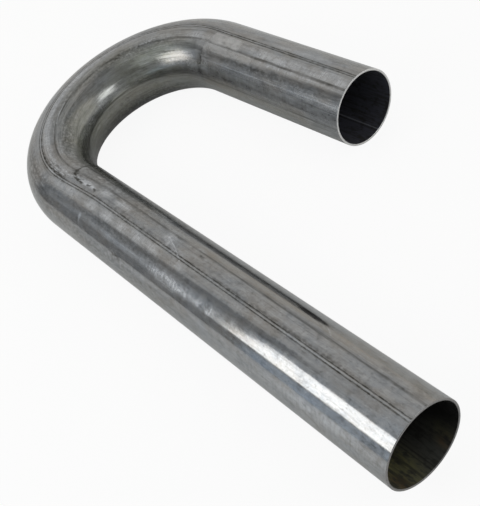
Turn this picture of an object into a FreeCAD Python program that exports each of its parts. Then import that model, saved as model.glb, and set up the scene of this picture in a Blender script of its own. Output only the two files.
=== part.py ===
"""Return bend: one round steel tube with two straight legs of unequal length and a U bend between.

Millimetres. The origin is the centre of the long leg's open end. +X points out of that end, +Z is
up, and the centreline lies in the plane Z = 0 with the short leg on the +Y side. The tube is drawn
from strip and welded along its length, so a seam runs the whole way: two fine grooves with a rib
between them outside, and a low rolled bead inside.
"""

import FreeCAD
import Part
import Sketcher
import os
from math import asin, cos, pi, radians, sin
from FreeCAD import Placement, Rotation, Vector

NODE = "bent_tube"

# Lengths are in millimetres and angles in degrees.
SIZES = (
    ("outside_diameter", 63.5, "outside of the tube"),
    ("wall_thickness", 1.65, "wall of the straight tube"),
    ("long_leg", 393.0, "straight length from the open end at the origin to the bend"),
    ("short_leg", 167.0, "straight length from the bend to the other open end"),
    ("bend_radius", 95.25, "bend, measured to the centreline"),
    ("bend_turn", 177.7, "angle the bend turns through, a little short of half a turn"),
    ("bore_shift", 0.3, "how far the bore moves outward at the middle of the bend"),
    ("seam_angle", 93.0, "seam round the tube, from the side inside the U and over the top"),
    ("seam_rib_width", 1.5, "rib between the two outside grooves"),
    ("seam_groove_width", 0.7, "each outside groove, across its mouth"),
    ("seam_groove_depth", 0.12, "each outside groove"),
    ("bead_width", 3.0, "weld bead in the bore, across its foot"),
    ("bead_height", 0.18, "weld bead in the bore, above the wall"),
    ("rim_chamfer", 0.3, "deburred edges of both open ends"),
    ("cutter_overrun", 0.5, "how far the rim cutter reaches past the edges it cuts"),
)
VALUE = {name: number for name, number, _ in SIZES}

# How a sketch numbers an edge's points, its own origin and its horizontal axis.
START, END, CENTRE = range(1, 4)
ORIGIN = (-1, START)
H_AXIS = ORIGIN[0]


def add_sheet(doc):
    """Add the spreadsheet that drives every sketch."""
    sheet = doc.addObject("Spreadsheet::Sheet", "Sizes")
    for row, (name, number, meaning) in enumerate(SIZES, start=1):
        sheet.set("A%d" % row, name)
        sheet.set("B%d" % row, str(number))
        sheet.set("C%d" % row, meaning)
        sheet.setAlias("B%d" % row, name)
    return sheet


def size(name):
    """Return the expression that reads one cell of the sheet."""
    return "<<Sizes>>.%s" % name


def origin_plane(body, role):
    """Return one of the body's own three planes."""
    for feature in body.Origin.OriginFeatures:
        if feature.Role == role:
            return feature
    raise RuntimeError("no plane " + role)


def add_sketch(body, name, role):
    """Add an empty sketch on one of the body's own planes."""
    sketch = body.newObject("Sketcher::SketchObject", name)
    sketch.AttachmentSupport = (origin_plane(body, role), [""])
    sketch.MapMode = "FlatFace"
    return sketch


def drive(sketch, kind, geometry, number, expression):
    """Add a dimension to a sketch and bind it to the sheet."""
    index = sketch.addConstraint(Sketcher.Constraint(kind, *geometry, number))
    sketch.setExpression("Constraints[%d]" % index, expression)


def join(sketch, first, second):
    """Make two points of a sketch coincide."""
    sketch.addConstraint(Sketcher.Constraint("Coincident", *first, *second))


def polar(radius, angle):
    """Return the point of a sketch at a radius and an angle in radians."""
    return Vector(radius * cos(angle), radius * sin(angle), 0)


def circle_arc(centre, radius, first, last):
    """Return the arc that runs anticlockwise between two angles in radians."""
    return Part.ArcOfCircle(Part.Circle(centre, Vector(0, 0, 1), radius), first, last)


def draw_centreline(body):
    """Draw the long leg, the bend and the short leg in the plane Z = 0."""
    long_leg = VALUE["long_leg"]
    radius = VALUE["bend_radius"]
    turn = radians(VALUE["bend_turn"])
    centre = Vector(-long_leg, radius, 0)
    bend_end = centre + polar(radius, 1.5 * pi - turn)
    tip = bend_end + VALUE["short_leg"] * Vector(-cos(turn), sin(turn), 0)

    sketch = add_sketch(body, "centreline", "XY_Plane")
    leg = sketch.addGeometry(Part.LineSegment(Vector(0, 0, 0), Vector(-long_leg, 0, 0)))
    bend = sketch.addGeometry(circle_arc(centre, radius, 1.5 * pi - turn, 1.5 * pi))
    other = sketch.addGeometry(Part.LineSegment(bend_end, tip))
    join(sketch, (leg, START), ORIGIN)
    sketch.addConstraint(Sketcher.Constraint("Horizontal", leg))
    sketch.addConstraint(Sketcher.Constraint("Tangent", leg, END, bend, END))
    sketch.addConstraint(Sketcher.Constraint("Tangent", bend, START, other, START))
    drive(sketch, "Distance", (leg,), long_leg, size("long_leg"))
    drive(sketch, "Radius", (bend,), radius, size("bend_radius"))
    drive(sketch, "Angle", (bend,), turn, size("bend_turn") + " * 1deg")
    drive(sketch, "Distance", (other,), VALUE["short_leg"], size("short_leg"))
    return sketch


def draw_outside(body):
    """Draw the outside of the tube at the open end: a circle with the two seam grooves."""
    radius = VALUE["outside_diameter"] / 2
    bottom = radius - VALUE["seam_groove_depth"]
    middle = radians(VALUE["seam_angle"])
    rib = VALUE["seam_rib_width"] / 2 / radius
    groove = VALUE["seam_groove_width"] / radius

    sketch = add_sketch(body, "outside_profile", "YZ_Plane")
    origin = Vector(0, 0, 0)
    wall = sketch.addGeometry(
        circle_arc(origin, radius, middle + rib + groove, middle - rib - groove + 2 * pi))
    top = sketch.addGeometry(circle_arc(origin, radius, middle - rib, middle + rib))
    centre_line = sketch.addGeometry(Part.LineSegment(origin, polar(radius, middle)), True)
    for arc in (wall, top):
        join(sketch, (arc, CENTRE), ORIGIN)
    join(sketch, (centre_line, START), ORIGIN)
    sketch.addConstraint(Sketcher.Constraint("PointOnObject", centre_line, END, top))
    sketch.addConstraint(Sketcher.Constraint("Equal", wall, top))
    drive(sketch, "Radius", (wall,), radius, size("outside_diameter") + " / 2")
    drive(sketch, "Angle", (H_AXIS, START, centre_line, START), middle,
          size("seam_angle") + " * 1deg")

    for side, wall_end, top_end in ((1, START, END), (-1, END, START)):
        mouth = middle + side * (rib + groove)
        lowest = middle + side * (rib + groove / 2)
        edge = middle + side * rib
        down = sketch.addGeometry(
            Part.LineSegment(polar(radius, mouth), polar(bottom, lowest)))
        up = sketch.addGeometry(
            Part.LineSegment(polar(bottom, lowest), polar(radius, edge)))
        join(sketch, (down, START), (wall, wall_end))
        join(sketch, (down, END), (up, START))
        join(sketch, (up, END), (top, top_end))
        sketch.addConstraint(Sketcher.Constraint("Equal", down, up))
        drive(sketch, "Distance", (up, END, centre_line, END), VALUE["seam_rib_width"] / 2,
              size("seam_rib_width") + " / 2")
        drive(sketch, "Distance", (down, START, up, END), VALUE["seam_groove_width"],
              size("seam_groove_width"))
        drive(sketch, "Distance", (*ORIGIN, down, END), bottom,
              size("outside_diameter") + " / 2 - " + size("seam_groove_depth"))
    return sketch


def draw_bore_line(body):
    """Draw the line the bore follows: it leaves the centreline outward round the bend.

    Bending stretches the outer wall and thickens the inner one, so the bore drifts outward and is
    furthest out at the middle of the bend. Three tangent arcs give the drift: a quarter, a half
    and a quarter of the turn. With q a quarter of the turn and d the shift divided by
    2 (1 - cos q), the outer arcs' radius is larger than the bend's by d and the middle one's is
    smaller by d (2 cos q - 1), which brings the last arc back to the centreline.
    """
    long_leg = VALUE["long_leg"]
    turn = radians(VALUE["bend_turn"])
    quarter = turn / 4
    drift = VALUE["bore_shift"] / (2 * (1 - cos(quarter)))
    outer_radius = VALUE["bend_radius"] + drift
    middle_radius = VALUE["bend_radius"] - drift * (2 * cos(quarter) - 1)
    step = outer_radius - middle_radius
    first_centre = Vector(-long_leg, outer_radius, 0)
    middle_centre = first_centre + polar(step, 1.5 * pi - quarter)
    last_centre = middle_centre - polar(step, 1.5 * pi - 3 * quarter)
    bend_end = last_centre + polar(outer_radius, 1.5 * pi - turn)
    tip = bend_end + VALUE["short_leg"] * Vector(-cos(turn), sin(turn), 0)

    sketch = add_sketch(body, "bore_line", "XY_Plane")
    leg = sketch.addGeometry(Part.LineSegment(Vector(0, 0, 0), Vector(-long_leg, 0, 0)))
    first, middle, last = (
        sketch.addGeometry(circle_arc(centre, radius, 1.5 * pi - stop, 1.5 * pi - start))
        for centre, radius, start, stop in (
            (first_centre, outer_radius, 0, quarter),
            (middle_centre, middle_radius, quarter, 3 * quarter),
            (last_centre, outer_radius, 3 * quarter, turn)))
    other = sketch.addGeometry(Part.LineSegment(bend_end, tip))

    join(sketch, (leg, START), ORIGIN)
    sketch.addConstraint(Sketcher.Constraint("Horizontal", leg))
    sketch.addConstraint(Sketcher.Constraint("Tangent", leg, END, first, END))
    sketch.addConstraint(Sketcher.Constraint("Tangent", first, START, middle, END))
    sketch.addConstraint(Sketcher.Constraint("Tangent", middle, START, last, END))
    sketch.addConstraint(Sketcher.Constraint("Tangent", last, START, other, START))
    sketch.addConstraint(Sketcher.Constraint("Equal", first, last))
    drive(sketch, "Distance", (leg,), long_leg, size("long_leg"))
    drive(sketch, "Distance", (other,), VALUE["short_leg"], size("short_leg"))
    cosine = "cos(%s / 4)" % size("bend_turn")
    driven_drift = "%s / (2 * (1 - %s))" % (size("bore_shift"), cosine)
    drive(sketch, "Radius", (first,), outer_radius,
          size("bend_radius") + " + " + driven_drift)
    drive(sketch, "Radius", (middle,), middle_radius,
          "%s - %s * (2 * %s - 1)" % (size("bend_radius"), driven_drift, cosine))
    for arc, share in ((first, 4), (middle, 2), (last, 4)):
        drive(sketch, "Angle", (arc,), turn / share,
              "%s / %d * 1deg" % (size("bend_turn"), share))
    return sketch


def draw_bore(body):
    """Draw the bore at the open end: a circle with the weld bead standing in from it."""
    radius = VALUE["outside_diameter"] / 2 - VALUE["wall_thickness"]
    crown = radius - VALUE["bead_height"]
    middle = radians(VALUE["seam_angle"])
    half = VALUE["bead_width"] / 2
    rise = (radius ** 2 - half ** 2) ** 0.5 - crown
    bead_radius = (half ** 2 + rise ** 2) / (2 * rise)
    spread = asin(half / bead_radius)
    foot = asin(half / radius)

    sketch = add_sketch(body, "bore_profile", "YZ_Plane")
    wall = sketch.addGeometry(
        circle_arc(Vector(0, 0, 0), radius, middle + foot, middle - foot + 2 * pi))
    bead = sketch.addGeometry(
        circle_arc(polar(crown + bead_radius, middle), bead_radius,
                   middle + pi - spread, middle + pi + spread))
    line = sketch.addGeometry(
        Part.LineSegment(Vector(0, 0, 0), polar(crown, middle)), True)
    join(sketch, (wall, CENTRE), ORIGIN)
    join(sketch, (line, START), ORIGIN)
    join(sketch, (wall, START), (bead, START))
    join(sketch, (wall, END), (bead, END))
    sketch.addConstraint(Sketcher.Constraint("PointOnObject", line, END, bead))
    sketch.addConstraint(Sketcher.Constraint("PointOnObject", bead, CENTRE, line))
    drive(sketch, "Radius", (wall,), radius,
          size("outside_diameter") + " / 2 - " + size("wall_thickness"))
    drive(sketch, "Angle", (H_AXIS, START, line, START), middle, size("seam_angle") + " * 1deg")
    drive(sketch, "Distance", (line,), crown,
          size("outside_diameter") + " / 2 - " + size("wall_thickness")
          + " - " + size("bead_height"))
    drive(sketch, "Distance", (wall, START, wall, END), 2 * half, size("bead_width"))
    return sketch


def draw_rim_cutter(body, name, at_short_leg):
    """Draw the two triangles that take the sharp edges off one open end, outside and inside."""
    outer = VALUE["outside_diameter"] / 2
    inner = outer - VALUE["wall_thickness"]
    over = VALUE["cutter_overrun"]
    leg = VALUE["rim_chamfer"] + 2 * over

    sketch = add_sketch(body, name, "XY_Plane")
    for radius, side, expression in (
            (outer, 1, size("outside_diameter") + " / 2"),
            (inner, -1, size("outside_diameter") + " / 2 - " + size("wall_thickness"))):
        corner = Vector(over, radius + side * over, 0)
        along = corner - Vector(leg, 0, 0)
        across = corner - Vector(0, side * leg, 0)
        first = sketch.addGeometry(Part.LineSegment(corner, along))
        slope = sketch.addGeometry(Part.LineSegment(along, across))
        last = sketch.addGeometry(Part.LineSegment(across, corner))
        join(sketch, (first, END), (slope, START))
        join(sketch, (slope, END), (last, START))
        join(sketch, (last, END), (first, START))
        sketch.addConstraint(Sketcher.Constraint("Horizontal", first))
        sketch.addConstraint(Sketcher.Constraint("Vertical", last))
        reach = size("rim_chamfer") + " + 2 * " + size("cutter_overrun")
        upright = (last, START, last, END) if side > 0 else (last, END, last, START)
        drive(sketch, "DistanceX", (first, END, first, START), leg, reach)
        drive(sketch, "DistanceY", upright, leg, reach)
        drive(sketch, "DistanceX", (*ORIGIN, first, START), over, size("cutter_overrun"))
        drive(sketch, "DistanceY", (*ORIGIN, first, START), corner.y,
              "%s %s %s" % (expression, "+" if side > 0 else "-", size("cutter_overrun")))

    if at_short_leg:
        turn = "(%s)" % size("bend_turn")
        sketch.AttachmentOffset = Placement(
            Vector(0, 0, 0), Rotation(Vector(0, 0, -1), VALUE["bend_turn"] + 180))
        sketch.setExpression(
            "AttachmentOffset.Base.x",
            "-%s - %s * sin%s - %s * cos%s" % (
                size("long_leg"), size("bend_radius"), turn, size("short_leg"), turn))
        sketch.setExpression(
            "AttachmentOffset.Base.y",
            "%s * (1 - cos%s) + %s * sin%s" % (
                size("bend_radius"), turn, size("short_leg"), turn))
        sketch.setExpression("AttachmentOffset.Rotation.Angle", turn + " + 180")
    return sketch


def add_feature(doc, body, kind, name, **settings):
    """Add a feature to the body, set its properties and rebuild."""
    feature = body.newObject("PartDesign::" + kind, name)
    for key, setting in settings.items():
        setattr(feature, key, setting)
    doc.recompute()
    return feature


def add_cut(doc, body, kind, name, **settings):
    """Add a feature that takes metal away, and stop if it took none."""
    before = body.Shape.Volume
    feature = add_feature(doc, body, kind, name, **settings)
    if feature.Shape.Volume >= before:
        raise RuntimeError(name + " cuts nothing")


def check(doc):
    """Stop if any object failed to build."""
    for thing in doc.Objects:
        if "Invalid" in thing.State or "Error" in thing.State:
            raise RuntimeError("%s failed to build" % thing.Name)
        if thing.isDerivedFrom("PartDesign::Feature") and (
                thing.Shape.isNull() or not thing.Shape.isValid()):
            raise RuntimeError("%s has no valid shape" % thing.Name)


def main():
    """Build the tube and write it as one solid."""
    doc = FreeCAD.newDocument(NODE)
    add_sheet(doc)
    body = doc.addObject("PartDesign::Body", NODE)
    doc.recompute()

    centreline = draw_centreline(body)
    outside = draw_outside(body)
    bore_line = draw_bore_line(body)
    bore = draw_bore(body)
    long_rim = draw_rim_cutter(body, "long_leg_rim_cutter", False)
    short_rim = draw_rim_cutter(body, "short_leg_rim_cutter", True)
    doc.recompute()

    add_feature(doc, body, "AdditivePipe", "tube_outside",
                Profile=outside, Spine=(centreline, ["Edge1", "Edge2", "Edge3"]))
    add_cut(doc, body, "SubtractivePipe", "tube_bore",
            Profile=bore, Spine=(bore_line, ["Edge1", "Edge2", "Edge3", "Edge4", "Edge5"]))
    add_cut(doc, body, "Groove", "long_leg_rim",
            Profile=long_rim, ReferenceAxis=(long_rim, ["H_Axis"]), Angle=360.0)
    add_cut(doc, body, "Groove", "short_leg_rim",
            Profile=short_rim, ReferenceAxis=(short_rim, ["H_Axis"]), Angle=360.0)
    check(doc)

    if len(body.Shape.Solids) != 1:
        raise RuntimeError("the tube is not one solid")
    os.makedirs("parts", exist_ok=True)
    body.Shape.exportStep("parts/%s.step" % NODE)
    print("volume mm3", round(body.Shape.Volume, 1), "faces", len(body.Shape.Faces))


main()
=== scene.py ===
"""Return bend in raw drawn steel, lying on a pale table in plain studio light.

Metres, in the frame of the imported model: the origin is the centre of the long leg's open end, +X
points out of that end, +Z is up and the short leg lies on the +Y side. A place on the tube is named
by its run, the length along the centreline from the long leg's open end, and its clock, the angle
round the tube from the outer side of the bend, over the top, to the inner side.
"""

from functools import partial
from math import cos, pi, radians, sin

import bpy
import numpy as np
from mathutils import Matrix, Vector


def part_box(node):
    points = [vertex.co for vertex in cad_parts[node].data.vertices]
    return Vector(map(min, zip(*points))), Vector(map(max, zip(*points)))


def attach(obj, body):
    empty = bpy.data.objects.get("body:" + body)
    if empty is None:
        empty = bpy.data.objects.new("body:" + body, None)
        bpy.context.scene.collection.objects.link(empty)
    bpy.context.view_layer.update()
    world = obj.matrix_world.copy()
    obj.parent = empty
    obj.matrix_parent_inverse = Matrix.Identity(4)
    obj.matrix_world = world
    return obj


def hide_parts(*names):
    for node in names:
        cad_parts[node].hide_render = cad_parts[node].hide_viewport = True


bl_info = {
    "name": "Return bend",
    "version": (1, 0, 0),
    "blender": (4, 5, 0),
    "location": "View3D > Sidebar > Return bend",
    "description": "Builds a welded steel return bend and its studio",
    "category": "Add Mesh",
}

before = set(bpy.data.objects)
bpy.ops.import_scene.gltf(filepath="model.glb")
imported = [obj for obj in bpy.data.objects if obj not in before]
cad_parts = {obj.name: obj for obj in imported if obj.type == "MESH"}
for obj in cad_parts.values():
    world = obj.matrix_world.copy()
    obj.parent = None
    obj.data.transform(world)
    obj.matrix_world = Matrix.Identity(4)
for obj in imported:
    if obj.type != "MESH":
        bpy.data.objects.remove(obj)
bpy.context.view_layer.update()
CAD_LOW, CAD_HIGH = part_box("bent_tube")

MM = 0.001
TURN = 2 * pi


def linear(code):
    """Return the linear colour of an sRGB hex code."""
    part = np.array([int(code[i:i + 2], 16) for i in (0, 2, 4)]) / 255
    return tuple(np.where(part <= 0.04045, part / 12.92, ((part + 0.055) / 1.055) ** 2.4).tolist())


def rgba(shade):
    """Return a colour with full opacity."""
    return (*shade, 1.0)


def length(name, text, value):
    """Return a length property of a PropertyGroup."""
    return bpy.props.FloatProperty(
        name=name, description=text, default=value, min=0.0, unit="LENGTH", precision=5)


def angle(name, text, value):
    """Return an angle property of a PropertyGroup, given in degrees."""
    return bpy.props.FloatProperty(
        name=name, description=text, default=radians(value), unit="ROTATION")


def colour(name, text, code):
    """Return a colour property of a PropertyGroup, given as an sRGB hex code."""
    return bpy.props.FloatVectorProperty(
        name=name, description=text, default=linear(code), size=3, subtype="COLOR",
        min=0.0, max=1.0)


class ReturnBendSizes(bpy.types.PropertyGroup):
    """Sizes of the tube."""
    diameter: length("Outside diameter", "Outside of the tube", CAD_HIGH.z - CAD_LOW.z)
    wall: length("Wall", "Wall of the straight tube", 0.00165)
    long_leg: length("Long leg", "Straight length before the bend", 0.393)
    short_leg: length("Short leg", "Straight length after the bend", 0.167)
    bend_radius: length("Bend radius", "Bend, measured to the centreline", 0.09525)
    bend_turn: angle("Bend turn", "Angle the bend turns through", 177.7)
    bore_shift: length("Bore shift", "How far the bore moves outward in the bend", 0.0003)
    seam_clock: angle("Seam clock", "Seam's place round the long leg", 87.0)
    seam_wander: angle("Seam wander", "How far the seam turns aside in the bend", -5.6)
    rib: length("Seam rib", "Rib between the two seam grooves", 0.0015)
    groove: length("Seam groove", "Width of each seam groove", 0.0007)
    groove_depth: length("Seam groove depth", "Depth of each seam groove", 0.00012)
    bead: length("Weld bead", "Width of the weld bead in the bore", 0.003)
    bead_height: length("Weld bead height", "Height of the weld bead in the bore", 0.00018)
    chamfer: length("Rim chamfer", "Deburred edges of the open ends", 0.0003)


class ReturnBendColours(bpy.types.PropertyGroup):
    """Colours of the tube and the table."""
    steel: colour("Steel", "Raw drawn steel", "9a9b9b")
    warm: colour("Warm film", "Where the mill oil has dried on", "93918e")
    cool: colour("Cool film", "Where the steel was rolled bright", "919497")
    oil: colour("Dried oil", "Thicker patches of dried oil", "979187")
    thin_oil: colour("Thin oil", "Where the bending tools' oil has dried thin", "9a9c90")
    # Grime is also the colour of the painted shade and painted darker reflections in the stains
    # table.
    grime_and_shade: colour("Grime", "Dirt and scale in lines and grooves", "3a3934")
    scuffed: colour("Scuffed steel", "Where handling has rubbed it bright", "c2c2c1")
    # Bare steel is also the colour of the painted lighter reflections in the scuffs table.
    bare_and_sheen: colour("Bare steel", "Where handling has scratched it bare", "d9dde2")
    sawn: colour("Sawn steel", "Cut and deburred rim of the short leg", "e6e6e4")
    dull_sawn: colour("Dull sawn steel", "Cut and oiled rim of the long leg", "949290")
    scale: colour("Bore scale", "Oiled scale in the long leg's bore", "64655f")
    blue_scale: colour("Blue scale", "Oiled scale in the short leg's bore", "5a5b64")
    olive: colour("Old oil", "Oil left in the mouth of the bore", "8a8860")
    rust: colour("Rust", "Specks of rust in the mouth of the bore", "80603f")
    # This colour is painted shade, darkening the bore toward black where little light reaches.
    painted_bore_shade: colour("Soot", "Soot inside the bore", "1c1b1a")
    table: colour("Table", "Pale table", "f2f2f0")


def smooth(x):
    """Return the smooth step from 0 to 1: x squared times (3 - 2x), held outside 0 to 1."""
    x = np.clip(x, 0, 1)
    return x * x * (3 - 2 * x)


def bell(x, width):
    """Return a bell curve of the given half width."""
    return np.exp(-(x / width) ** 2)


def bend_length(sizes):
    """Return the length of the bend's centreline: its radius times its turn."""
    return sizes.bend_radius * sizes.bend_turn


def whole_run(sizes):
    """Return the length of the whole centreline."""
    return sizes.long_leg + bend_length(sizes) + sizes.short_leg


def centreline(sizes, run):
    """Return points on the centreline, its directions and its outward directions.

    A straight run along -X, then an arc about (-long leg, bend radius), then a straight run along
    the arc's last direction. The turn is the run past the long leg divided by the bend's radius,
    held between nothing and the whole turn.
    """
    turn = np.clip((run - sizes.long_leg) / sizes.bend_radius, 0, sizes.bend_turn)
    along = np.stack((-np.cos(turn), np.sin(turn), 0 * turn), -1)
    outward = np.stack((-np.sin(turn), -np.cos(turn), 0 * turn), -1)
    before = np.minimum(run, sizes.long_leg)
    after = np.maximum(run - sizes.long_leg - bend_length(sizes), 0)
    centre = np.array((-sizes.long_leg, sizes.bend_radius, 0))
    point = centre + sizes.bend_radius * outward
    point = point + (sizes.long_leg - before)[..., None] * np.array((1.0, 0, 0))
    point = point + after[..., None] * along
    return point, along, outward


# Where bending twisted the tube, the seam wanders: from how far before the bend and over what
# length it comes in (metres), and from what share of the bend and over what share it goes again.
TWIST_BEFORE, TWIST_OVER = 0.065, 0.07
TWIST_BACK_FROM, TWIST_BACK_OVER = 0.3, 0.72

# Where bending dulled the steel: from how far before the bend and over what length it comes in, and
# over what length and by what share it falls after the bend.
DULL_BEFORE, DULL_OVER = 0.02, 0.06
DULL_FALLS_OVER, DULL_FALLS_BY = 0.03, 0.15

# Rings across the tube where a bending tool ended: run, depth and half width, in metres.
TOOL_RINGS = ((0.3845, 0.00003, 0.0010), (0.6865, 0.00005, 0.0014))

# Depth and half width of the scar that the bending tools pressed into the end of the long leg.
SCAR_DEPTH = 0.00006
SCAR_WIDTH = 0.0009

# Waves of the drawn and bent wall: wavelength along the tube, turns round it, shift and depth.
WAVES = (
    (0.061, 3, 0.4, 0.000012), (0.037, 5, 1.9, 0.000008), (0.021, 7, 4.1, 0.000005),
    (0.090, 2, 2.6, 0.000014))
WAVE_REACH = sum(row[3] for row in WAVES)

# Share of the waves that the straight legs have. Bending adds the whole of them once more.
STRAIGHT_WAVES = 0.35

# The scar, which curls back along the seam in a hook, and two short spots beyond its end, as chains
# of run and clock in millimetres and degrees.
TOOL_MARKS = (
    ((387, 168), (384.5, 150), (384, 135), (384, 124), (382.5, 113), (381, 106), (378, 100.5),
     (373, 96), (367, 94.5), (363, 95)),
    ((356, 96.5), (353, 98)), ((346, 97.5), (343.5, 96)))

# Scratches that handling left bare, in the same way.
SCRATCHES = (
    ((341, 45), (341.5, 57)), ((214, 80), (228, 93), (245, 104)), ((353, 100.5), (360.5, 92.5)),
    ((345.5, 100), (351, 97.5)), ((356, 104), (368, 95)), ((372, 99), (385, 93)),
    ((81, 118), (89, 127)), ((468, 106), (500, 104)), ((388, 89), (410, 86)))

# Distances to the marks are held to this, in metres, because no mark reaches so far.
FAR_OFF = 0.02


def seam_clock(sizes, run):
    """Return the seam's clock: the long leg's, plus a wander where the bending twisted the tube.

    The wander is a smooth step that comes in over the last of the long leg and goes again over most
    of the bend.
    """
    past = run - sizes.long_leg
    bend = bend_length(sizes)
    comes = smooth((past + TWIST_BEFORE) / TWIST_OVER)
    goes = smooth((past - TWIST_BACK_FROM * bend) / (TWIST_BACK_OVER * bend))
    return sizes.seam_clock + sizes.seam_wander * comes * (1 - goes)


def worked(sizes, run):
    """Return how much bending has dulled the steel.

    It is a smooth step from nothing before the bend to 1 in it, which falls a little after it.
    """
    past = run - sizes.long_leg
    rise = smooth((past + DULL_BEFORE) / DULL_OVER)
    fall = smooth((past - bend_length(sizes)) / DULL_FALLS_OVER)
    return rise * (1 - DULL_FALLS_BY * fall)


def distance_to(chains, sizes, run, clock):
    """Return the distance, in metres over the surface, from each point to the nearest chain.

    It is the least distance to any straight edge of the chains on the tube rolled out flat, and no
    more than FAR_OFF.
    """
    radius = sizes.diameter / 2
    point = np.stack((run, clock * radius), -1)
    nearest = np.full(run.shape, FAR_OFF)
    for chain in chains:
        corner = np.array([(at * MM, radians(turn) * radius) for at, turn in chain])
        for first, last in zip(corner[:-1], corner[1:]):
            edge = last - first
            share = np.clip(((point - first) @ edge) / (edge @ edge), 0, 1)
            gap = np.linalg.norm(point - first - share[..., None] * edge, axis=-1)
            nearest = np.minimum(nearest, gap)
    return nearest


def outside_radius(sizes, run, around):
    """Return the tube's outside radius at a run and an angle from the seam.

    The nominal radius, less a V groove on each side of the seam's rib, less a low ring where each
    bending tool ended, less a bell curve of the distance to the tools' scar, less waves a few
    hundredths of a millimetre deep. The waves are products of a sine of the run and a sine of the
    angle, deeper where the tube was bent.
    """
    nominal = sizes.diameter / 2
    arc = np.abs(around) * nominal
    middle = (sizes.rib + sizes.groove) / 2
    groove = np.clip(1 - np.abs(arc - middle) / (sizes.groove / 2), 0, 1)
    radius = nominal - sizes.groove_depth * groove
    for place, depth, width in TOOL_RINGS:
        radius = radius - depth * bell(run - place, width)
    clock = seam_clock(sizes, run) + around
    radius = radius - SCAR_DEPTH * bell(distance_to(TOOL_MARKS, sizes, run, clock), SCAR_WIDTH)
    wave = 0
    for wavelength, turns, shift, depth in WAVES:
        round_it = np.sin(turns * around + shift)
        wave = wave + depth * np.sin(TURN * run / wavelength + shift) * round_it
    return radius - (STRAIGHT_WAVES + worked(sizes, run)) * (wave + WAVE_REACH) / 2


def bore_radius(sizes, run, around):
    """Return the bore's radius: the nominal one, less the rounded weld bead at the seam."""
    nominal = sizes.diameter / 2 - sizes.wall
    arc = np.abs(around) * nominal
    bead = np.clip(1 - (arc / (sizes.bead / 2)) ** 2, 0, 1)
    return nominal - sizes.bead_height * bead


# Steps of the mesh along the outside, on the legs, in the bend and at its ends and scar, and along
# the bore, on the legs and in the bend. The fine rings begin FINE_BEFORE the bend, for the scar,
# and reach FINE_PAST both its ends.
LEG_STEP, BEND_STEP, FINE_STEP = 2.8 * MM, 2.2 * MM, 1.0 * MM
BORE_LEG_STEP, BORE_BEND_STEP = 6 * MM, 3.4 * MM
FINE_BEFORE, FINE_PAST = 55 * MM, 8 * MM

# Runs are rounded to this many decimals of a metre, so that rings that coincide become one.
RING_DECIMALS = 7

# Angles from the seam of the mesh's columns, in degrees: the first beside the seam's own, the last
# fine one at the scar, and the fine and the plain step.
FIRST_COLUMN, LAST_FINE_COLUMN = 4.4, 66
FINE_COLUMN_STEP, COLUMN_STEP = 1.5, 4


def steps(start, stop, step):
    """Return evenly spaced numbers from start to stop, no further apart than step."""
    return np.linspace(start, stop, max(2, int(np.ceil((stop - start) / step)) + 1))


def outside_runs(sizes):
    """Return the runs of the outside's rings: finer at the ends of the bend and at the scar."""
    first = sizes.chamfer
    last = whole_run(sizes) - sizes.chamfer
    bend = sizes.long_leg
    after = bend + bend_length(sizes)
    parts = (
        steps(first, bend - FINE_BEFORE, LEG_STEP),
        steps(bend - FINE_BEFORE, bend + FINE_PAST, FINE_STEP),
        steps(bend + FINE_PAST, after - FINE_PAST, BEND_STEP),
        steps(after - FINE_PAST, after + FINE_PAST, FINE_STEP),
        steps(after + FINE_PAST, last, LEG_STEP))
    return np.unique(np.round(np.concatenate(parts), RING_DECIMALS))


def bore_runs(sizes):
    """Return the runs of the bore's rings."""
    last = whole_run(sizes) - sizes.chamfer
    bend = sizes.long_leg
    after = bend + bend_length(sizes)
    parts = (
        steps(sizes.chamfer, bend, BORE_LEG_STEP), steps(bend, after, BORE_BEND_STEP),
        steps(after, last, BORE_LEG_STEP))
    return np.unique(np.round(np.concatenate(parts), RING_DECIMALS))


def columns(sizes):
    """Return the angles from the seam of the mesh's columns: finer at the seam and the scar."""
    radius = sizes.diameter / 2
    inner = sizes.rib / 2 / radius
    outer = inner + sizes.groove / radius
    bead = sizes.bead / 2 / (radius - sizes.wall)
    beside = outer + (outer - inner) / 2
    seam = np.array((inner, (inner + outer) / 2, outer, beside, bead))
    first, last = radians(FIRST_COLUMN), radians(LAST_FINE_COLUMN)
    scarred = steps(first, last, radians(FINE_COLUMN_STEP))
    inward = steps(last, pi, radians(COLUMN_STEP))[1:]
    outward = steps(first, pi, radians(COLUMN_STEP))[:-1]
    return np.sort(np.concatenate((-outward, -seam, (0.0,), seam, scarred, inward)))


# What a ring of the tube is on, which is also the number of its material.
OUTSIDE, BORE, RIM = 0, 1, 2


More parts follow.
